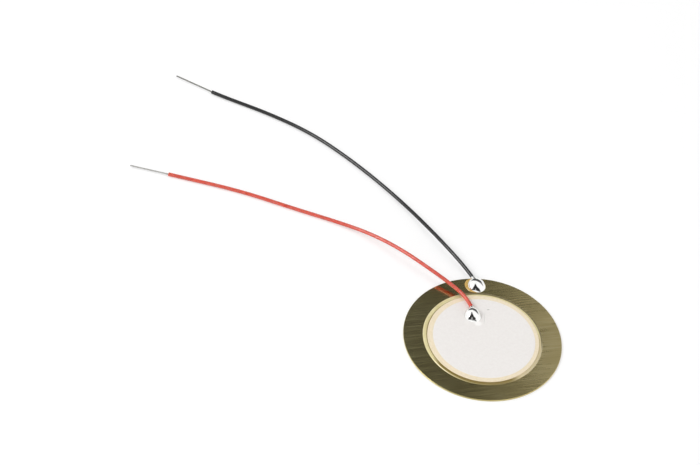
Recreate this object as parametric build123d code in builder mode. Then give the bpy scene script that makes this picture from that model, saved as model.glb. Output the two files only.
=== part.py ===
import os
from math import cos, radians, sin, tan

from build123d import *

# Piezo disc: a brass plate, a silvered ceramic wafer bonded to it, and two soldered leads.
# The origin is at the centre of the plate's underside, +Z is up through the ceramic,
# and +Y points at the solder joint on the brass. All lengths are in millimetres.

# Brass plate, stamped from sheet, with the punch's roll-over round its upper edge
plate_diameter = 20.0
plate_thickness = 0.20
plate_edge_round = 0.04

# Piezo-ceramic wafer, which leaves a border of brass and is bonded a little off the plate's centre
brass_border = 3.0
ceramic_diameter = plate_diameter - 2 * brass_border
ceramic_thickness = 0.16
ceramic_edge_round = 0.03
ceramic_offset_x = 0.13
ceramic_offset_y = -0.13

# Silver films fired on the wafer: the lower one covers its face, the upper one leaves a bare margin
bare_margin = 0.6
electrode_diameter = ceramic_diameter - 2 * bare_margin
electrode_thickness = 0.02

# Adhesive film under the wafer, and the rounded bead that was squeezed out round it
bond_thickness = 0.02
bond_margin = 0.55
bond_diameter = ceramic_diameter + 2 * bond_margin
bead_width = 0.56
bead_rise = 0.10

# Solder: a dome that wets out into a thin film, with a neck drawn out along the conductor
solder_film = 0.03
wetting_round = 0.16
solder_lip_share = 1.6
neck_root_share = 0.72
neck_tip_diameter = 0.44
neck_hollow_share = 0.20
neck_blend_round = 0.08

# The joint on the brass, for the black lead, fills the border between the adhesive and the rim.
# Its entry shares are of its diameter, twice, and its height.
brass_joint_rim_margin = 0.06
brass_joint_bond_gap = 0.11
brass_joint_diameter = brass_border - bond_margin - brass_joint_bond_gap - brass_joint_rim_margin
brass_joint_height = 0.94
brass_joint_entry_shares = (0, 0, 0.468)

# The joint on the upper electrode, for the red lead, placed from the film's edge and by its angle from +X
electrode_joint_diameter = 2.12
electrode_joint_height = 1.04
electrode_joint_edge_margin = 1.63
electrode_joint_angle = 107.3
electrode_joint_entry_shares = (0.057, 0.17, 0.40)

# Stranded leads: an insulated length between the solder and a bare, tinned tip
insulation_diameter = 0.48
conductor_diameter = 0.18
conductor_clearance = 0.01
tin_thickness = 0.01
tin_taper = 0.60
tip_round = 0.04
black_bare_length = 5.4
red_bare_length = 5.1
black_soldered_length = 1.15
red_soldered_length = 0.90
bend_share = 0.45

# Heights of the stack, from the plate's underside up
lower_electrode_base = plate_thickness + bond_thickness
ceramic_base = lower_electrode_base + electrode_thickness
upper_electrode_base = ceramic_base + ceramic_thickness
stack_top = upper_electrode_base + electrode_thickness

# Where the solder joints stand
brass_joint_reach = plate_diameter / 2 - brass_joint_rim_margin - brass_joint_diameter / 2
brass_joint_foot = Vector(0, brass_joint_reach, plate_thickness)
electrode_joint_reach = electrode_diameter / 2 - electrode_joint_edge_margin - electrode_joint_diameter / 2
electrode_joint_foot = Vector(
    ceramic_offset_x + electrode_joint_reach * cos(radians(electrode_joint_angle)),
    ceramic_offset_y + electrode_joint_reach * sin(radians(electrode_joint_angle)),
    stack_top,
)

# Routes of the leads, from the solder to the tip of the bare end: each rises off its joint,
# clears the plate's rim and comes down to lie on the surface that the plate rests on
black_route = [
    (-1.43, 11.47, 0.78),
    (-3.07, 13.83, 1.08),
    (-5.27, 17.37, 0.94),
    (-7.99, 21.77, 0.46),
    (-11.28, 26.11, 0.275),
    (-15.30, 30.52, 0.275),
    (-19.86, 34.72, 0.275),
    (-25.19, 38.00, 0.275),
    (-31.63, 41.04, 0.275),
    (-37.48, 44.50, 0.275),
]
red_route = [
    (-1.61, 6.18, 0.83),
    (-3.30, 7.99, 1.06),
    (-5.88, 10.08, 1.50),
    (-9.51, 13.38, 1.54),
    (-13.12, 16.59, 0.80),
    (-17.18, 18.88, 0.31),
    (-22.57, 20.95, 0.275),
    (-29.58, 23.80, 0.275),
    (-36.69, 25.77, 0.275),
    (-43.78, 27.66, 0.275),
]

os.makedirs("parts", exist_ok=True)


def keep(part, name):
    part.label = name
    export_step(part, f"parts/{name}.step")


def upright(origin):
    """Section plane through a point, with +X to the right and +Z up."""
    return Plane(origin, x_dir=(1, 0, 0), z_dir=(0, -1, 0))


def bend_radii(points):
    """Largest even bends: each arc takes up the same share of the shorter run beside its corner."""
    radii = []
    for before, corner, after in zip(points, points[1:], points[2:]):
        run_in = corner - before
        run_out = after - corner
        half_turn = radians(run_in.get_angle(run_out)) / 2
        radii.append(bend_share * min(run_in.length, run_out.length) / tan(half_turn))
    return radii


# Brass plate
with BuildPart() as brass_plate:
    with BuildSketch():
        Circle(plate_diameter / 2)
    extrude(amount=plate_thickness)
    fillet(brass_plate.edges().group_by(Axis.Z)[-1], plate_edge_round)
keep(brass_plate.part, "brass_plate")

# Adhesive: a film over the plate that ends in a rounded bead. The seat of the off-centre wafer
# cuts into the bead on one side and leaves a groove beside it on the other.
with BuildPart() as bond_layer:
    bead_inner = bond_diameter / 2 - bead_width
    with BuildSketch(upright(Vector(0, 0, plate_thickness))):
        with BuildLine():
            Polyline(
                (bead_inner, bond_thickness),
                (0, bond_thickness),
                (0, 0),
                (bond_diameter / 2, 0),
                (bond_diameter / 2, bond_thickness),
            )
            SagittaArc((bond_diameter / 2, bond_thickness), (bead_inner, bond_thickness), -bead_rise)
        make_face()
    revolve(axis=Axis.Z)
    with BuildSketch(Plane.XY.offset(lower_electrode_base)):
        with Locations((ceramic_offset_x, ceramic_offset_y)):
            Circle(ceramic_diameter / 2)
    extrude(amount=bead_rise + bond_thickness, mode=Mode.SUBTRACT)
keep(bond_layer.part, "bond_layer")

# Lower electrode
with BuildPart() as lower_electrode:
    with BuildSketch(Plane.XY.offset(lower_electrode_base)):
        with Locations((ceramic_offset_x, ceramic_offset_y)):
            Circle(ceramic_diameter / 2)
    extrude(amount=electrode_thickness)
keep(lower_electrode.part, "lower_electrode")

# Ceramic wafer
with BuildPart() as ceramic_disc:
    with BuildSketch(Plane.XY.offset(ceramic_base)):
        with Locations((ceramic_offset_x, ceramic_offset_y)):
            Circle(ceramic_diameter / 2)
    extrude(amount=ceramic_thickness)
    fillet(ceramic_disc.edges().group_by(Axis.Z)[-1], ceramic_edge_round)
keep(ceramic_disc.part, "ceramic_disc")

# Upper electrode
with BuildPart() as upper_electrode:
    with BuildSketch(Plane.XY.offset(upper_electrode_base)):
        with Locations((ceramic_offset_x, ceramic_offset_y)):
            Circle(electrode_diameter / 2)
    extrude(amount=electrode_thickness)
keep(upper_electrode.part, "upper_electrode")


def lead(colour, foot, diameter, height, entry_shares, route, soldered_length, bare_length):
    """Insulation, conductor and solder joint of one lead. The first two follow the same bends."""
    *corners, tip = [Vector(point) for point in route]
    x_share, y_share, z_share = entry_shares
    entry = foot + Vector(x_share * diameter, y_share * diameter, z_share * height)
    entry_way = (corners[0] - entry).normalized()
    tip_way = (tip - corners[-1]).normalized()
    jacket_start = entry + entry_way * soldered_length
    jacket_end = tip - tip_way * bare_length
    radii = bend_radii([jacket_start, *corners, jacket_end])
    print(colour, "lead bend radii:", [round(radius, 1) for radius in radii])

    with BuildPart() as insulation:
        with BuildLine() as jacket_line:
            FilletPolyline(jacket_start, *corners, jacket_end, radius=radii)
        with BuildSketch(Plane(jacket_start, z_dir=entry_way)):
            Circle(insulation_diameter / 2)
            Circle(conductor_diameter / 2 + conductor_clearance, mode=Mode.SUBTRACT)
        sweep()
    print(colour, "insulation length:", round(jacket_line.wire().length, 2))

    with BuildPart() as conductor:
        with BuildLine():
            FilletPolyline(entry, *corners, jacket_end, radius=radii)
        with BuildSketch(Plane(entry, z_dir=entry_way)):
            Circle(conductor_diameter / 2)
        sweep()
        tinned_radius = conductor_diameter / 2 + tin_thickness
        with BuildSketch(Plane(jacket_end, x_dir=tip_way, z_dir=tip_way.cross(Vector(0, 0, 1)))):
            with BuildLine():
                Polyline(
                    (0, 0),
                    (bare_length, 0),
                    (bare_length, tinned_radius),
                    (tin_taper, tinned_radius),
                    (0, conductor_diameter / 2),
                    close=True,
                )
            make_face()
        revolve(axis=Axis(jacket_end, tip_way))
        fillet(conductor.faces().sort_by_distance(tip)[0].edges(), tip_round)

    # Dome and neck are turned shapes, blended where they meet and hollow where the conductor sits
    dome_foot = diameter / 2 - solder_lip_share * wetting_round
    neck_root = neck_root_share * height / 2
    neck_tip = neck_tip_diameter / 2
    with BuildPart() as joint:
        with BuildSketch(upright(foot)) as dome:
            with BuildLine():
                Polyline(
                    (0, height),
                    (0, 0),
                    (diameter / 2, 0),
                    (diameter / 2, solder_film),
                    (dome_foot, solder_film),
                )
                TangentArc((0, height), (dome_foot, solder_film), tangent=(1, 0))
            make_face()
            fillet(dome.vertices().group_by(Axis.X)[-2], wetting_round)
        revolve(axis=Axis(foot, (0, 0, 1)))
        with BuildSketch(Plane(entry, x_dir=entry_way, z_dir=entry_way.cross(Vector(0, 0, 1)))):
            with BuildLine():
                Polyline((soldered_length, neck_tip), (soldered_length, 0), (0, 0), (0, neck_root))
                SagittaArc(
                    (0, neck_root),
                    (soldered_length, neck_tip),
                    -neck_hollow_share * (neck_root - neck_tip),
                )
            make_face()
        revolve(axis=Axis(entry, entry_way))
        fillet(joint.edges().filter_by(GeomType.BSPLINE), neck_blend_round)
        add(conductor.part, mode=Mode.SUBTRACT)

    return insulation.part, conductor.part, joint.part


# Black lead, on the brass
black_insulation, black_conductor, brass_solder_joint = lead(
    "black",
    brass_joint_foot,
    brass_joint_diameter,
    brass_joint_height,
    brass_joint_entry_shares,
    black_route,
    black_soldered_length,
    black_bare_length,
)
keep(black_insulation, "black_insulation")
keep(black_conductor, "black_conductor")
keep(brass_solder_joint, "brass_solder_joint")

# Red lead, on the upper electrode
red_insulation, red_conductor, electrode_solder_joint = lead(
    "red",
    electrode_joint_foot,
    electrode_joint_diameter,
    electrode_joint_height,
    electrode_joint_entry_shares,
    red_route,
    red_soldered_length,
    red_bare_length,
)
keep(red_insulation, "red_insulation")
keep(red_conductor, "red_conductor")
keep(electrode_solder_joint, "electrode_solder_joint")
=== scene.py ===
from math import atan2, cos, pi, radians, sin, sqrt

import bmesh
import bpy
from mathutils import Matrix, Vector, noise


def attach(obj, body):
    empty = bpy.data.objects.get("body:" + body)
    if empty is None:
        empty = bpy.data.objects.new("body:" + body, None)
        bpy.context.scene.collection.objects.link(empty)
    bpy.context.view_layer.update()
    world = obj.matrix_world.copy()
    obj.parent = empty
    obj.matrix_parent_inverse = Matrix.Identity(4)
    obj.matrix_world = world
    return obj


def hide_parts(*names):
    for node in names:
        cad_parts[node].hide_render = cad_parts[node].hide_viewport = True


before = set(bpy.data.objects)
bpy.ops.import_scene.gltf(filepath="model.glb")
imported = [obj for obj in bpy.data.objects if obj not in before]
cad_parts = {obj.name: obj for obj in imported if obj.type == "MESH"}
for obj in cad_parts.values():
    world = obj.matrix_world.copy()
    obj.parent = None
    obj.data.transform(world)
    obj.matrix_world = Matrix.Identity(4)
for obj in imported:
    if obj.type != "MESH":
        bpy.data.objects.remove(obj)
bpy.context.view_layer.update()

mm = 0.001  # lengths in the dictionaries below are in millimetres
scene = bpy.context.scene
scene.view_settings.view_transform = "Standard"


# Camera: a long lens from in front and above, turned a little about its own axis
cameraSetup = {
    "location": (-61.8, -241.46, 280.84),
    "heading": -10.1,
    "pitch": 43.116,
    "roll": 9.32,
    "lens": 154.29,
    "sensorWidth": 36.0,
    "clipStart": 10,
}


def makeCamera(setup):
    data = bpy.data.cameras.new("camera")
    data.lens = setup["lens"]
    data.sensor_width = setup["sensorWidth"]
    data.clip_start = setup["clipStart"] * mm
    camera = bpy.data.objects.new("camera", data)
    turn = (
        Matrix.Rotation(radians(setup["heading"]), 4, "Z")
        @ Matrix.Rotation(radians(setup["pitch"]), 4, "X")
        @ Matrix.Rotation(radians(setup["roll"]), 4, "Z")
    )
    camera.matrix_world = Matrix.Translation(Vector(setup["location"]) * mm) @ turn
    scene.collection.objects.link(camera)
    scene.camera = camera


makeCamera(cameraSetup)
print("camera set")


# Helpers for colours, nodes and materials
def colour(code):
    values = [int(code[i : i + 2], 16) / 255 for i in (1, 3, 5)]
    return (*[v / 12.92 if v <= 0.04045 else ((v + 0.055) / 1.055) ** 2.4 for v in values], 1.0)


def addNode(tree, kind, settings, inputs, stops=()):
    # inputs go by name, or by number where a node has several of one name; stops are for a colour ramp
    node = tree.nodes.new(kind)
    for name, value in settings.items():
        setattr(node, name, value)
    for name, value in inputs.items():
        if isinstance(value, bpy.types.NodeSocket):
            tree.links.new(value, node.inputs[name])
        else:
            node.inputs[name].default_value = value
    for index, (place, shade) in enumerate(stops):
        elements = node.color_ramp.elements
        element = elements[index] if index < len(elements) else elements.new(place)
        element.position = place
        element.color = colour(shade)
    return node


def softEdges(tree, edges):
    # how far inside all the edges a point lies, from 0 to 1: each has a value, a start and an end
    share = 1.0
    for value, (start, end) in edges:
        inside = addNode(
            tree,
            "ShaderNodeMapRange",
            {"interpolation_type": "SMOOTHSTEP"},
            {"Value": value, "From Min": start, "From Max": end},
        )
        both = addNode(
            tree, "ShaderNodeMath", {"operation": "MULTIPLY"}, {0: share, 1: inside.outputs["Result"]}
        )
        share = both.outputs[0]
    return share


def startMaterial(name, sockets):
    material = bpy.data.materials.new(name)
    material.use_nodes = True
    tree = material.node_tree
    tree.nodes.clear()
    shader = addNode(tree, "ShaderNodeBsdfPrincipled", {}, sockets)
    addNode(tree, "ShaderNodeOutputMaterial", {}, {"Surface": shader.outputs["BSDF"]})
    where = addNode(tree, "ShaderNodeTexCoord", {}, {})
    return material, tree, shader, where.outputs["Object"]


# Stage: a pale paper floor under a white light tent, with a soft box on the left
floorSetup = {
    "size": 4000,
    "sockets": {"Base Color": colour("#fafafa"), "Roughness": 0.9},
    "ownShare": 0.35,
}


def makeFloor(setup):
    # where it is looked at, part of the paper's white is its own, so it stays white with a faint shadow
    material, tree, shader = startMaterial("matte paper backdrop", setup["sockets"])[:3]
    rays = addNode(tree, "ShaderNodeLightPath", {}, {}).outputs
    seen = rays["Is Camera Ray"]
    for ray in (rays["Is Glossy Ray"], rays["Is Transmission Ray"]):
        seen = addNode(tree, "ShaderNodeMath", {"operation": "MAXIMUM"}, {0: seen, 1: ray}).outputs[0]
    share = addNode(tree, "ShaderNodeMath", {"operation": "MULTIPLY"}, {0: seen, 1: setup["ownShare"]})
    white = addNode(tree, "ShaderNodeEmission", {}, {"Strength": 1.0})
    paper = addNode(
        tree,
        "ShaderNodeMixShader",
        {},
        {0: share.outputs[0], 1: shader.outputs["BSDF"], 2: white.outputs["Emission"]},
    )
    tree.links.new(paper.outputs["Shader"], tree.nodes["Material Output"].inputs["Surface"])
    bm = bmesh.new()
    bmesh.ops.create_grid(bm, x_segments=1, y_segments=1, size=setup["size"] * mm / 2)
    mesh = bpy.data.meshes.new("floor")
    bm.to_mesh(mesh)
    bm.free()
    mesh.materials.append(material)
    floor = bpy.data.objects.new("floor", mesh)
    scene.collection.objects.link(floor)


# edges, heights and widths are those of a unit vector that points out from the object to the tent
tentSetup = {
    "level": 1.53,
    "backLevel": 0.13,  # the unlit back of the room, which the plate mirrors
    "backHeading": (0.2486, 0.9686, 0.0),
    "backLowEdge": (0.26, 0.42),
    "backHighEdge": (0.90, 0.82),
    "backSideEdge": (0.34, 0.54),
    "frontLevel": 0.045,  # the gap in the tent that the picture is taken through
    "frontWay": (-0.165, -0.643, 0.748),
    "frontSide": (0.9922, -0.0567, 0.1107),
    "frontWidth": {"From Min": -0.12, "From Max": 0.20, "To Min": 0.80, "To Max": 0.42},  # wider at its foot
    "frontNarrowing": {"From Min": 0.2, "From Max": 0.65, "To Min": 0.0, "To Max": 0.28},
    "frontSideEdge": (0.0, 0.08),
    "frontHighEdge": (0.70, 0.58),
    "frontLowEdge": (-0.18, -0.10),
    "frontFacingEdge": (0.15, 0.30),
    "stripWidth": {"From Min": -0.14, "From Max": 0.10, "To Min": 0.26, "To Max": 0.0},
    "stripPaling": {"From Min": 0.0, "From Max": 0.1, "To Min": 1.0, "To Max": 0.65},
}


def makeTent(setup):
    world = bpy.data.worlds.new("light tent")
    world.use_nodes = True
    scene.world = world
    tree = world.node_tree
    tree.nodes.clear()
    way = addNode(tree, "ShaderNodeTexCoord", {}, {}).outputs["Generated"]

    # the dark back: a band by height, as wide as its heading lets it be
    dot = {"operation": "DOT_PRODUCT"}
    rise = addNode(tree, "ShaderNodeSeparateXYZ", {}, {"Vector": way}).outputs["Z"]
    ahead = addNode(tree, "ShaderNodeVectorMath", dot, {0: way, 1: setup["backHeading"]}).outputs["Value"]
    back = softEdges(
        tree,
        [
            (rise, setup["backLowEdge"]),
            (rise, setup["backHighEdge"]),
            (ahead, setup["backSideEdge"]),
        ],
    )

    # the gap in front: how far a way lies to its side and up from its middle
    frontWay, frontSide = Vector(setup["frontWay"]), Vector(setup["frontSide"])
    facing, across, height = [
        addNode(tree, "ShaderNodeVectorMath", dot, {0: way, 1: heading}).outputs["Value"]
        for heading in (frontWay, frontSide, frontWay.cross(frontSide))
    ]
    inside, narrowing, strip = [
        addNode(tree, "ShaderNodeMapRange", {}, {"Value": height, **setup[name]}).outputs["Result"]
        for name in ("frontWidth", "frontNarrowing", "stripWidth")
    ]
    aside = addNode(tree, "ShaderNodeMath", {"operation": "ABSOLUTE"}, {0: across}).outputs[0]
    for taken in (narrowing, aside):
        inside = addNode(tree, "ShaderNodeMath", {"operation": "SUBTRACT"}, {0: inside, 1: taken}).outputs[0]
    front = softEdges(
        tree,
        [
            (inside, setup["frontSideEdge"]),
            (height, setup["frontHighEdge"]),
            (height, setup["frontLowEdge"]),
            (facing, setup["frontFacingEdge"]),
        ],
    )

    # a paler strip between the gap's feet
    strip = addNode(tree, "ShaderNodeMath", {"operation": "SUBTRACT"}, {0: strip, 1: aside}).outputs[0]
    smooth = {"interpolation_type": "SMOOTHSTEP"}
    strip = addNode(tree, "ShaderNodeMapRange", smooth, {"Value": strip, **setup["stripPaling"]})
    front = addNode(
        tree, "ShaderNodeMath", {"operation": "MULTIPLY"}, {0: front, 1: strip.outputs["Result"]}
    ).outputs[0]

    level = setup["level"]
    for dark, darkLevel in ((back, setup["backLevel"]), (front, setup["frontLevel"])):
        mixed = addNode(tree, "ShaderNodeMapRange", {}, {"Value": dark, "To Min": level, "To Max": darkLevel})
        level = mixed.outputs["Result"]
    light = addNode(tree, "ShaderNodeBackground", {}, {"Strength": level})
    addNode(tree, "ShaderNodeOutputWorld", {}, {"Surface": light.outputs["Background"]})


softBoxSetup = {
    "level": 9.0,
    "size": (215, 160),
    "place": (-361, -30, 346),
}


def makeSoftBox(setup):
    data = bpy.data.lights.new("softBox", "AREA")
    data.shape = "RECTANGLE"
    data.size, data.size_y = [side * mm for side in setup["size"]]
    data.energy = setup["level"] * pi * data.size * data.size_y
    box = bpy.data.objects.new("softBox", data)
    box.location = Vector(setup["place"]) * mm
    box.rotation_euler = (-box.location).to_track_quat("-Z", "Y").to_euler()
    scene.collection.objects.link(box)


makeFloor(floorSetup)
makeTent(tentSetup)
makeSoftBox(softBoxSetup)
print("stage set")


# Materials: most have patches of a real size, and a tone and a roughness that follow them
noiseSpan = (0.30, 0.70)  # where nearly all of a noise texture's values lie
waferCentre = (0.05, -0.13)  # the adhesive's frost and its painted shade lie round it


def addPatches(tree, shader, where, finish):
    patches = addNode(tree, "ShaderNodeTexNoise", {}, {"Vector": where, **finish["patches"]}).outputs["Fac"]
    tone = addNode(tree, "ShaderNodeValToRGB", {}, {"Fac": patches}, zip(noiseSpan, finish["tones"]))
    tree.links.new(tone.outputs["Color"], shader.inputs["Base Color"])
    if "roughness" in finish:
        rough = addNode(tree, "ShaderNodeMapRange", {}, {"Value": patches, **finish["roughness"]})
        tree.links.new(rough.outputs["Result"], shader.inputs["Roughness"])
    return tone.outputs["Color"]


brassFinish = {
    "sockets": {"Metallic": 1.0, "Anisotropic": 0.6},
    "lineGap": 0.20,  # real rolling lines are finer, and these are as coarse as they need to be to show
    "lineRun": 6,
    "lineTurn": 10,
    "lineDepth": 0.002,
    "patchSize": 5,
    "patchShare": 0.45,
    "tones": [(0.30, "#ccbc85"), (0.52, "#dacb98"), (0.70, "#e7dbae")],
    "sideToSideReach": 9,  # the tone and the roughness change from left to right across the plate
    "sideToSideTones": [(0.0, "#f0f4ee"), (0.5, "#e6e6da"), (1.0, "#fffdf6")],
    "lineRoughness": {"From Min": 0.3, "From Max": 0.7, "To Min": -0.04, "To Max": 0.05},
    "sideToSideRoughness": {"From Min": 0.3, "From Max": 1.0, "To Min": 0.15, "To Max": 0.31},
}


def rolledBrass(finish):
    # cold-rolled brass sheet: a soft mirror with fine rolling lines, its tone and roughness changing from
    # left to right
    material, tree, shader, where = startMaterial("cold-rolled brass sheet", finish["sockets"])
    lineRun, lineGap = finish["lineRun"] * mm, finish["lineGap"] * mm
    laid = addNode(
        tree,
        "ShaderNodeMapping",
        {"vector_type": "TEXTURE"},
        {
            "Vector": where,
            "Rotation": (0, 0, radians(finish["lineTurn"])),
            "Scale": (lineRun, lineGap, lineGap),
        },
    )
    lines = addNode(
        tree,
        "ShaderNodeTexNoise",
        {},
        {"Vector": laid.outputs["Vector"], "Scale": 1.0, "Detail": 4.0, "Roughness": 0.6},
    ).outputs["Fac"]
    patches = addNode(
        tree,
        "ShaderNodeTexNoise",
        {},
        {"Vector": where, "Scale": 1 / (finish["patchSize"] * mm), "Detail": 3.0, "Roughness": 0.55},
    ).outputs["Fac"]
    mixed = addNode(
        tree, "ShaderNodeMix", {"data_type": "FLOAT"}, {0: finish["patchShare"], 2: lines, 3: patches}
    )
    tone = addNode(tree, "ShaderNodeValToRGB", {}, {"Fac": mixed.outputs[0]}, finish["tones"])
    across = addNode(tree, "ShaderNodeSeparateXYZ", {}, {"Vector": where}).outputs["X"]
    reach = finish["sideToSideReach"] * mm
    sideToSide = addNode(
        tree, "ShaderNodeMapRange", {}, {"Value": across, "From Min": -reach, "From Max": reach}
    ).outputs["Result"]
    sideToSideTone = addNode(tree, "ShaderNodeValToRGB", {}, {"Fac": sideToSide}, finish["sideToSideTones"])
    toned = addNode(
        tree,
        "ShaderNodeMix",
        {"data_type": "RGBA", "blend_type": "MULTIPLY"},
        {0: 1.0, 6: tone.outputs["Color"], 7: sideToSideTone.outputs["Color"]},
    )
    tree.links.new(toned.outputs[2], shader.inputs["Base Color"])
    # mirrored shapes smear across the rolling lines
    smear = addNode(tree, "ShaderNodeTangent", {"direction_type": "RADIAL", "axis": "X"}, {})
    tree.links.new(smear.outputs["Tangent"], shader.inputs["Tangent"])
    rough, sideToSideRough = [
        addNode(tree, "ShaderNodeMapRange", {}, {"Value": value, **finish[name]}).outputs["Result"]
        for value, name in ((lines, "lineRoughness"), (sideToSide, "sideToSideRoughness"))
    ]
    rough = addNode(tree, "ShaderNodeMath", {"operation": "ADD"}, {0: rough, 1: sideToSideRough})
    tree.links.new(rough.outputs[0], shader.inputs["Roughness"])
    bump = addNode(
        tree,
        "ShaderNodeBump",
        {},
        {"Strength": 0.2, "Distance": finish["lineDepth"] * mm, "Height": lines},
    )
    tree.links.new(bump.outputs["Normal"], shader.inputs["Normal"])
    return material


epoxyFinish = {
    "sockets": {"IOR": 1.52, "Transmission Weight": 0.15, "Coat Weight": 0.6, "Coat Roughness": 0.05},
    "patches": {"Scale": 1 / (0.7 * mm), "Detail": 3.0, "Roughness": 0.6},
    "tones": ("#dccf96", "#eee3b2"),
    "roughness": {"To Min": 0.25, "To Max": 0.5},
    "centre": (*waferCentre, 0.25),
    "frostAndPaintedShade": [  # each with its heading from the centre, the soft edge of its sector and that of its ring
        # the epoxy's own frosted grey on the right
        ("#d8c9a0", (0.87, -0.48, 0), (0.74, 0.94), (9.0, 8.0)),
        # painted shade: deep amber on the near side, for the wafer's shaded wall seen through the epoxy
        ("#846f28", (-0.25, -0.968, 0), (0.62, 0.80), (7.46, 7.38)),
        # painted shade: a thin dark line where the bead meets the wafer's wall on the left
        ("#94834a", (-0.97, 0.25, 0), (0.30, 0.60), (7.20, 7.12)),
        # painted reflection: the far outer slope darkened as if it mirrored the unlit back of the room
        ("#776a3c", (0.64, 0.77, 0), (0.40, 0.66), (7.25, 7.37)),
    ],
}


def castEpoxy(finish):
    # epoxy squeezed out round the wafer: cloudy pale yellow, frosted grey on the right, with painted shade as
    # deep amber beside the wafer on the near left and as a dark line at its left edge, and a painted
    # reflection darkening the far outer slope
    material, tree, shader, where = startMaterial("amber epoxy adhesive", finish["sockets"])
    tone = addPatches(tree, shader, where, finish)
    centre = [value * mm for value in finish["centre"]]
    fromWafer = addNode(
        tree, "ShaderNodeVectorMath", {"operation": "SUBTRACT"}, {0: where, 1: centre}
    ).outputs["Vector"]
    reach = addNode(tree, "ShaderNodeVectorMath", {"operation": "LENGTH"}, {0: fromWafer}).outputs["Value"]
    way = addNode(tree, "ShaderNodeVectorMath", {"operation": "NORMALIZE"}, {0: fromWafer}).outputs["Vector"]
    for shade, heading, sectorEdge, ringEdge in finish["frostAndPaintedShade"]:
        along = addNode(tree, "ShaderNodeVectorMath", {"operation": "DOT_PRODUCT"}, {0: way, 1: heading})
        ring = [distance * mm for distance in ringEdge]
        share = softEdges(tree, [(along.outputs["Value"], sectorEdge), (reach, ring)])
        mixed = addNode(tree, "ShaderNodeMix", {"data_type": "RGBA"}, {0: share, 6: tone, 7: colour(shade)})
        tone = mixed.outputs[2]
    tree.links.new(tone, shader.inputs["Base Color"])
    return material


ceramicFinish = {
    "sockets": {"IOR": 1.6},
    # the real grain is finer, and this is as coarse as it needs to be to show
    "patches": {"Scale": 1 / (0.25 * mm), "Detail": 4.0, "Roughness": 0.65},
    "tones": ("#e2d3b2", "#ecdec6"),
    "roughness": {"To Min": 0.5, "To Max": 0.66},
}


def piezoCeramic(finish):
    # fired and lapped lead zirconate titanate: cream, fine-grained and matte
    material, tree, shader, where = startMaterial("lapped piezo ceramic", finish["sockets"])
    addPatches(tree, shader, where, finish)
    return material


silverFinish = {
    "sockets": {"Metallic": 0.15, "Specular IOR Level": 0.2},
    "patches": {"Scale": 1 / (0.35 * mm), "Detail": 4.0, "Roughness": 0.7},
    "tones": ("#e7e3e0", "#ece9e6"),
    "roughness": {"To Min": 0.7, "To Max": 0.85},
    "marksAndLightPatch": [  # each with its centre, turn, length and width
        # painted light: a pale patch where the solder dome throws light on the film
        ("#f6f4f2", (-0.40, 2.25, 0.42), 0, 1.20, 1.00),
        ("#dcdad6", (0.47, 3.12, 0.42), 82, 2.40, 0.15),
        ("#b2b2ac", (1.08, 4.60, 0.42), 5, 0.50, 0.15),
    ],
    "markEdge": (1.0, 0.4),
}


def firedSilver(finish):
    # screen-printed silver, fired on: an almost white, chalky metal film, with a painted light patch
    # beside the solder where the dome throws light, a faint grey scratch and one small dark nick
    material, tree, shader, where = startMaterial("fired silver film", finish["sockets"])
    tone = addPatches(tree, shader, where, finish)
    for shade, centre, turn, length, width in finish["marksAndLightPatch"]:
        laid = addNode(
            tree,
            "ShaderNodeMapping",
            {"vector_type": "TEXTURE"},
            {
                "Vector": where,
                "Location": [value * mm for value in centre],
                "Rotation": (0, 0, radians(turn)),
                "Scale": (length * mm / 2, width * mm / 2, mm),
            },
        ).outputs["Vector"]
        reach = addNode(tree, "ShaderNodeVectorMath", {"operation": "LENGTH"}, {0: laid}).outputs["Value"]
        share = softEdges(tree, [(reach, finish["markEdge"])])
        mixed = addNode(tree, "ShaderNodeMix", {"data_type": "RGBA"}, {0: share, 6: tone, 7: colour(shade)})
        tone = mixed.outputs[2]
    tree.links.new(tone, shader.inputs["Base Color"])
    return material


solderFinish = {
    "sockets": {"Metallic": 1.0},
    "patches": {"Scale": 1 / (0.6 * mm), "Detail": 3.0, "Roughness": 0.6},
    "tones": ("#e3e3e1", "#f0f0ee"),
    "roughness": {"From Min": 0.3, "From Max": 0.7, "To Min": 0.04, "To Max": 0.10},
    "dimples": {"Scale": 1 / (0.28 * mm), "Detail": 2.0, "Roughness": 0.5},
    "dimpleDepth": 0.02,
}


def flowedSolder(finish):
    # tin solder that set from a flowing bead: bright and mirror-like, a little frosted in patches
    material, tree, shader, where = startMaterial("flowed tin solder", finish["sockets"])
    addPatches(tree, shader, where, finish)
    dimples = addNode(tree, "ShaderNodeTexNoise", {}, {"Vector": where, **finish["dimples"]})
    bump = addNode(
        tree,
        "ShaderNodeBump",
        {},
        {"Strength": 0.4, "Distance": finish["dimpleDepth"] * mm, "Height": dimples.outputs["Fac"]},
    )
    tree.links.new(bump.outputs["Normal"], shader.inputs["Normal"])
    return material


blackPvcFinish = {
    "sockets": {"IOR": 1.53},
    "patches": {"Scale": 1 / (0.5 * mm), "Detail": 4.0, "Roughness": 0.6},
    "tones": ("#0e0e0e", "#181818"),
    "roughness": {"To Min": 0.10, "To Max": 0.20},
}
redPvcFinish = {
    "sockets": {"IOR": 1.53, "Subsurface Weight": 0.8, "Subsurface Scale": 0.4 * mm},
    "patches": blackPvcFinish["patches"],
    "tones": ("#be4b3a", "#cd6050"),
    "roughness": {"To Min": 0.18, "To Max": 0.28},
}


def softPvc(name, finish):
    # extruded soft PVC: one deep colour with a waxy sheen and a slight grain, and light bleeds into the red
    material, tree, shader, where = startMaterial(name, finish["sockets"])
    addPatches(tree, shader, where, finish)
    return material


dullTinFinish = {
    "sockets": {"Metallic": 1.0},
    "patches": {"Scale": 1 / (0.4 * mm), "Detail": 3.0, "Roughness": 0.6},
    "tones": ("#75736f", "#8c8b87"),
    "roughness": {"To Min": 0.25, "To Max": 0.42},
}
brightTinFinish = {**dullTinFinish, "tones": ("#aeaca7", "#d4d3d0")}


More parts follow.
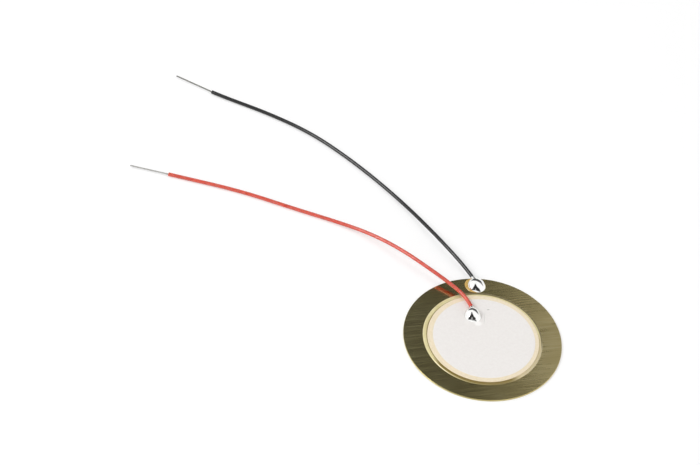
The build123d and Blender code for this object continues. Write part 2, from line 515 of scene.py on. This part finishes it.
def tinnedCopper(name, finish):
    # copper strands dipped in tin: grey and satin, lighter and darker where the tin was wiped
    material, tree, shader, where = startMaterial(name, finish["sockets"])
    addPatches(tree, shader, where, finish)
    return material


rosinFinish = {
    "sockets": {"IOR": 1.54, "Transmission Weight": 0.3, "Roughness": 0.1},
    "patches": {"Scale": 1 / (0.5 * mm), "Detail": 3.0, "Roughness": 0.6},
    "tones": ("#d8a84e", "#ecc878"),
}


def setRosin(finish):
    # flux resin left beside the solder: glassy amber
    material, tree, shader, where = startMaterial("rosin flux residue", finish["sockets"])
    addPatches(tree, shader, where, finish)
    return material


brass = rolledBrass(brassFinish)
epoxy = castEpoxy(epoxyFinish)
ceramic = piezoCeramic(ceramicFinish)
silver = firedSilver(silverFinish)
solder = flowedSolder(solderFinish)
blackPvc = softPvc("black soft PVC", blackPvcFinish)
redPvc = softPvc("red soft PVC", redPvcFinish)
dullTin = tinnedCopper("dull tinned copper strands", dullTinFinish)
brightTin = tinnedCopper("bright tinned copper strands", brightTinFinish)
rosin = setRosin(rosinFinish)
print("materials made")


# Helpers for pieces
def dressPiece(piece, material, nodes):
    piece.data.materials.clear()
    piece.data.materials.append(material)
    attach(piece, "root")
    if nodes:
        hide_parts(*nodes)


def finishPiece(bm, name, material, nodes, sharpAngle=35):
    bmesh.ops.recalc_face_normals(bm, faces=bm.faces)
    for face in bm.faces:
        face.smooth = True
    for edge in bm.edges:
        if edge.is_manifold and edge.calc_face_angle() > radians(sharpAngle):
            edge.smooth = False
    mesh = bpy.data.meshes.new(name)
    bm.to_mesh(mesh)
    bm.free()
    piece = bpy.data.objects.new(name, mesh)
    scene.collection.objects.link(piece)
    dressPiece(piece, material, nodes)
    return piece


# Plate, wafer and silver films: flat discs with eased edges
plateSpec = {
    "radius": 10.0,
    "centre": (0, 0),
    "low": 0.0,
    "high": 0.20,
    "topRound": 0.04,
    "lowRound": 0.012,
}
waferSpec = {
    "radius": 7.05,
    "centre": waferCentre,
    "low": 0.24,
    "high": 0.40,
    "topRound": 0.03,
    "lowRound": 0,
}
filmSpec = {
    "radius": 6.45,
    "centre": (0.14, -0.13),
    "low": 0.40,
    "high": 0.42,
    "topRound": 0.012,
    "lowRound": 0,
}
discShape = {
    "segments": 240,
    "roundSteps": 4,
    "flatRing": 0.05,
    "sameHeight": 0.001,
}


def makeDisc(name, spec, material, nodes):
    bm = bmesh.new()
    centre = Vector((*spec["centre"], spec["low"])) * mm
    bmesh.ops.create_circle(bm, cap_ends=True, segments=discShape["segments"], radius=spec["radius"] * mm)
    bmesh.ops.translate(bm, verts=bm.verts, vec=centre)
    lowFace = bm.faces[:]
    raised = bmesh.ops.extrude_face_region(bm, geom=lowFace, use_keep_orig=True)["geom"]
    topVerts = [item for item in raised if isinstance(item, bmesh.types.BMVert)]
    bmesh.ops.translate(bm, verts=topVerts, vec=(0, 0, (spec["high"] - spec["low"]) * mm))
    near = discShape["sameHeight"] * mm
    for height, size in ((spec["high"], spec["topRound"]), (spec["low"], spec["lowRound"])):
        if size:
            rim = [e for e in bm.edges if all(abs(v.co.z - height * mm) < near for v in e.verts)]
            bmesh.ops.bevel(
                bm,
                geom=rim,
                offset=size * mm,
                offset_type="OFFSET",
                affect="EDGES",
                segments=discShape["roundSteps"],
                profile=0.5,
                material=-1,
            )
    # a ring inside each flat face keeps the eased edge's shading off it
    flats = [face for face in bm.faces if len(face.verts) > 4]
    bmesh.ops.inset_individual(bm, faces=flats, thickness=discShape["flatRing"] * mm)
    finishPiece(bm, name, material, nodes)


makeDisc("brassPlate", plateSpec, brass, ["brass_plate"])
makeDisc("ceramicDisc", waferSpec, ceramic, ["ceramic_disc"])
makeDisc("upperElectrode", filmSpec, silver, ["upper_electrode"])
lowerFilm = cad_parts["lower_electrode"]
lowerFilm.data.materials.clear()
lowerFilm.data.materials.append(silver)
print("plate, wafer and films made")


# Adhesive and flux: rounded beads, between a round wall and an outer edge that need not share a centre
bondSpec = {
    "outerRadius": 7.55,
    "outerCentre": (0, 0),
    "wallRadius": 7.04,
    "wallCentre": waferCentre,
    "base": 0.195,
    "beadWidth": 0.56,
    "beadRise": 0.125,
    "filmTop": 0.22,
}
fluxSpec = {
    "outerRadius": 1.23,
    "outerCentre": (-0.30, 8.83),
    "wallRadius": 0.90,
    "wallCentre": (0, 8.80),
    "base": 0.195,
    "beadWidth": 0.60,
    "beadRise": 0.10,
    "filmTop": 0.20,
}
meniscusShape = {
    "segments": 192,
    "slopeSteps": 20,
    "mergeReach": 0.0002,
}


def makeMeniscus(name, spec, material, nodes):
    bm = bmesh.new()
    outerCentre = Vector((*spec["outerCentre"], 0))
    wallCentre = Vector((*spec["wallCentre"], 0))
    # unit half section: the bead's slope at height 0, the film's top at -1 and the underside at -2
    steps = meniscusShape["slopeSteps"]
    outline = [(1 + step / steps, 0, 0) for step in range(steps + 1)]
    outline += [(2, 0, -1), (0, 0, -1), (0, 0, -2), (1, 0, -2)]
    section = [bm.verts.new(point) for point in outline]
    for first, second in zip(section, section[1:] + section[:1]):
        bm.edges.new((first, second))
    bmesh.ops.spin(
        bm,
        geom=bm.verts[:] + bm.edges[:],
        cent=(0, 0, 0),
        axis=(0, 0, 1),
        angle=2 * pi,
        steps=meniscusShape["segments"],
        use_merge=True,
    )
    # each point of the unit ring goes to its place between the outer edge and the wall
    for vert in bm.verts:
        reach = sqrt(vert.co.x ** 2 + vert.co.y ** 2)
        onAxis = reach < 0.5
        way = Vector((0, 0, 0)) if onAxis else Vector((vert.co.x, vert.co.y, 0)) / reach
        outer = outerCentre + way * spec["outerRadius"]
        wall = wallCentre + way * spec["wallRadius"]
        width = max((outer - wall).dot(way), 0)
        if vert.co.z > -0.5:
            share = max(reach - 1, 0)
            place = outer.lerp(wall, share)
            lean = max(1 - (2 * share * width / spec["beadWidth"] - 1) ** 2, 0)
            place.z = max(spec["base"] + spec["beadRise"] * sqrt(lean), spec["filmTop"])
        elif vert.co.z > -1.5:
            place = wallCentre.copy() if onAxis else wall
            place.z = spec["filmTop"]
        else:
            place = wallCentre.copy() if onAxis else outer
            place.z = spec["base"]
        vert.co = place * mm
    bmesh.ops.remove_doubles(bm, verts=bm.verts, dist=meniscusShape["mergeReach"] * mm)
    finishPiece(bm, name, material, nodes)


makeMeniscus("bondLayer", bondSpec, epoxy, ["bond_layer"])
makeMeniscus("fluxResidue", fluxSpec, rosin, [])
print("adhesive and flux made")


# Leads: each route runs from the solder to the bare tip
leadSpecs = {
    "black": {
        "entry": (0, 8.80, 0.64),
        "soldered": 1.15,
        "route": [
            (-1.43, 11.47, 0.78),
            (-3.07, 13.83, 1.08),
            (-5.27, 17.37, 0.94),
            (-7.99, 21.77, 0.46),
            (-11.28, 26.11, 0.275),
            (-15.30, 30.52, 0.275),
            (-19.86, 34.72, 0.275),
            (-25.19, 38.00, 0.275),
            (-31.63, 41.04, 0.275),
        ],
        "tip": (-37.48, 44.50, 0.275),
        "bare": 5.4,
        "jacketLength": 46.49,
    },
    "red": {
        "entry": (-0.852, 3.773, 0.836),
        "soldered": 0.90,
        "route": [
            (-1.61, 6.18, 0.83),
            (-3.30, 7.99, 1.06),
            (-5.88, 10.08, 1.50),
            (-9.51, 13.38, 1.54),
            (-13.12, 16.59, 0.80),
            (-17.18, 18.88, 0.31),
            (-22.57, 20.95, 0.275),
            (-29.58, 23.80, 0.275),
            (-36.69, 25.77, 0.275),
        ],
        "tip": (-43.78, 27.66, 0.275),
        "bare": 5.1,
        "jacketLength": 44.82,
    },
}
jacketSpec = {
    "diameter": 0.48,
    "curveSteps": 24,
    "roundSteps": 8,
}
strandSpec = {
    "count": 6,  # laid round one in the middle
    "radius": 0.031,
    "lay": 0.062,
    "pitch": 3.0,
    "inside": 0.6,
    "roundSteps": 3,
}


def leadEnds(spec):
    entry, first = Vector(spec["entry"]), Vector(spec["route"][0])
    last, tip = Vector(spec["route"][-1]), Vector(spec["tip"])
    start = entry + (first - entry).normalized() * spec["soldered"]
    end = tip - (tip - last).normalized() * spec["bare"]
    return start, end


def routeCurve(name, points):
    data = bpy.data.curves.new(name, "CURVE")
    data.dimensions = "3D"
    data.resolution_u = jacketSpec["curveSteps"]
    spline = data.splines.new("NURBS")
    spline.points.add(len(points) - 1)
    for knot, point in zip(spline.points, points):
        knot.co = (*(Vector(point) * mm), 1)
    spline.order_u = 3
    spline.use_endpoint_u = True
    curve = bpy.data.objects.new(name, data)
    scene.collection.objects.link(curve)
    return curve


def curvePoints(curve):
    bpy.context.view_layer.update()
    mesh = bpy.data.meshes.new_from_object(curve)
    return [vert.co.copy() for vert in mesh.vertices]


def makeStrands(colourName, spec, end, material):
    line = routeCurve("route", [spec["route"][-1], end, spec["tip"]])
    points = curvePoints(line)
    bpy.data.objects.remove(line)
    way = (points[-1] - points[0]).normalized()
    begin = end * mm - way * strandSpec["inside"] * mm
    path = [point for point in points if (point - begin).dot(way) > 0]
    side = way.cross(Vector((0, 0, 1))).normalized()
    up = side.cross(way)
    data = bpy.data.curves.new(colourName + "BareStrands", "CURVE")
    data.dimensions = "3D"
    data.bevel_depth = strandSpec["radius"] * mm
    data.bevel_resolution = strandSpec["roundSteps"]
    data.use_fill_caps = True
    pitch = strandSpec["pitch"] * mm
    for strand in range(strandSpec["count"] + 1):
        spline = data.splines.new("POLY")
        spline.points.add(len(path) - 1)
        lay = strandSpec["lay"] * mm if strand else 0
        for knot, point in zip(spline.points, path):
            turn = 2 * pi * ((point - begin).dot(way) / pitch + strand / strandSpec["count"])
            knot.co = (*(point + (side * cos(turn) + up * sin(turn)) * lay), 1)
    strands = bpy.data.objects.new(colourName + "BareStrands", data)
    scene.collection.objects.link(strands)
    dressPiece(strands, material, [colourName + "_conductor"])
    return strands


def makeLead(colourName, spec, material, tin):
    start, end = leadEnds(spec)
    jacket = routeCurve(colourName + "Insulation", [start, *spec["route"], end])
    jacket.data.bevel_depth = jacketSpec["diameter"] * mm / 2
    jacket.data.bevel_resolution = jacketSpec["roundSteps"]
    jacket.data.use_fill_caps = True
    dressPiece(jacket, material, [colourName + "_insulation"])
    strands = makeStrands(colourName, spec, end, tin)


makeLead("black", leadSpecs["black"], blackPvc, dullTin)
makeLead("red", leadSpecs["red"], redPvc, brightTin)
print("leads made")


# Solder joints: a dome with a thin lip on the metal, which leans to its lead and is drawn out along it
jointSpecs = {
    "brass": {
        "foot": (0, 8.80, 0.20),
        "radius": 1.18,
        "height": 0.76,
        "lean": 0.28,
        "lead": "black",
        "neck": [(0.88, 0.28), (1.04, 0.25), (1.22, 0.22)],  # distances from the entry, and radii
    },
    "electrode": {
        "foot": (-0.98, 3.54, 0.42),
        "radius": 1.13,
        "height": 0.84,
        "lean": 0.34,
        "lead": "red",
        "neck": [(0.60, 0.29), (0.76, 0.26), (0.97, 0.22)],
    },
}
beadShape = {
    "rings": 9,
    "middle": 1e-6,  # the grid's middle point is nearer to 0 than this
    "steepest": 58,  # how far round its ellipsoid each cap reaches
    "lip": 0.03,
    "unevenness": 0.02,
    "bumpsPerLength": 2.2,
    "seed": 3,  # of the unevenness, so that each run makes the same shape
    "neckRoot": 0.30,  # how near the lead's axis the cap is drawn out
    "neckClear": 0.2,  # and how far from its entry
    "neckEdgeShare": 0.6,  # what lies further out than this is put on the neck's edge
    "subdivisions": 2,
}


def roundGrid(x, y):
    # squares of the grid become rings: how far out a point lies, and the way it lies in
    reach = max(abs(x), abs(y))
    if reach < beadShape["middle"]:
        return 0, 0
    if abs(x) >= abs(y):
        turn = pi / 4 * y / x + (pi if x < 0 else 0)
    else:
        turn = pi / 2 - pi / 4 * x / y + (pi if y < 0 else 0)
    return reach, turn


def drawOut(bm, faces, centre, way, radius):
    grown = bmesh.ops.extrude_face_region(bm, geom=faces)["geom"]
    bmesh.ops.delete(bm, geom=faces, context="FACES")
    verts = [item for item in grown if isinstance(item, bmesh.types.BMVert)]
    radials = [(v.co - centre) - way * way.dot(v.co - centre) for v in verts]
    spread = max(radial.length for radial in radials)
    for vert, radial in zip(verts, radials):
        if radial.length > beadShape["neckEdgeShare"] * spread:
            vert.co = centre + radial.normalized() * radius
        else:
            vert.co = centre + radial * (radius / spread)
    return [item for item in grown if isinstance(item, bmesh.types.BMFace)]


def makeJoint(name, spec, nodes):
    bm = bmesh.new()
    crease = bm.edges.layers.float.new("crease_edge")
    noise.seed_set(beadShape["seed"])
    foot = Vector(spec["foot"])
    lead = leadSpecs[spec["lead"]]
    entry = Vector(lead["entry"])
    way = (Vector(lead["route"][0]) - entry).normalized()
    heading = atan2(way.y, way.x)
    lean = Vector((way.x, way.y, 0)).normalized() * spec["lean"] / spec["height"]
    steepest = radians(beadShape["steepest"])
    capRise = 1 - cos(steepest)
    grid = 2 * beadShape["rings"]
    bmesh.ops.create_grid(bm, x_segments=grid, y_segments=grid, size=1)
    for vert in bm.verts:
        reach, turn = roundGrid(vert.co.x, vert.co.y)
        out = spec["radius"] * sin(steepest * reach) / sin(steepest)
        rise = spec["height"] * (cos(steepest * reach) - cos(steepest)) / capRise + beadShape["lip"]
        vert.co = foot + Vector((out * cos(turn + heading), out * sin(turn + heading), rise)) + lean * rise
        if reach < 1:
            bumps = noise.noise_vector(vert.co * beadShape["bumpsPerLength"])
            vert.co += bumps * beadShape["unevenness"]
    rim = [edge for edge in bm.edges if edge.is_boundary]
    dropped = bmesh.ops.extrude_edge_only(bm, edges=rim)["geom"]
    for item in dropped:
        if isinstance(item, bmesh.types.BMVert):
            item.co.z = foot.z
    sole = [edge for edge in bm.edges if edge.is_boundary]
    bmesh.ops.contextual_create(bm, geom=sole)
    for edge in sole:
        edge[crease] = 1

    root = []
    for face in bm.faces:
        off = face.calc_center_median() - entry
        ahead = off.dot(way)
        beside = (off - way * ahead).length
        if ahead > 0 and beside < beadShape["neckRoot"] and off.length > beadShape["neckClear"]:
            root.append(face)
    for distance, radius in spec["neck"]:
        root = drawOut(bm, root, entry + way * distance, way, radius)
    bmesh.ops.scale(bm, verts=bm.verts, vec=(mm, mm, mm))
    joint = finishPiece(bm, name, solder, nodes, sharpAngle=180)
    rounded = joint.modifiers.new("flow", "SUBSURF")
    rounded.levels = rounded.render_levels = beadShape["subdivisions"]


makeJoint("brassSolderJoint", jointSpecs["brass"], ["brass_solder_joint"])
makeJoint("electrodeSolderJoint", jointSpecs["electrode"], ["electrode_solder_joint"])
print("solder joints made")
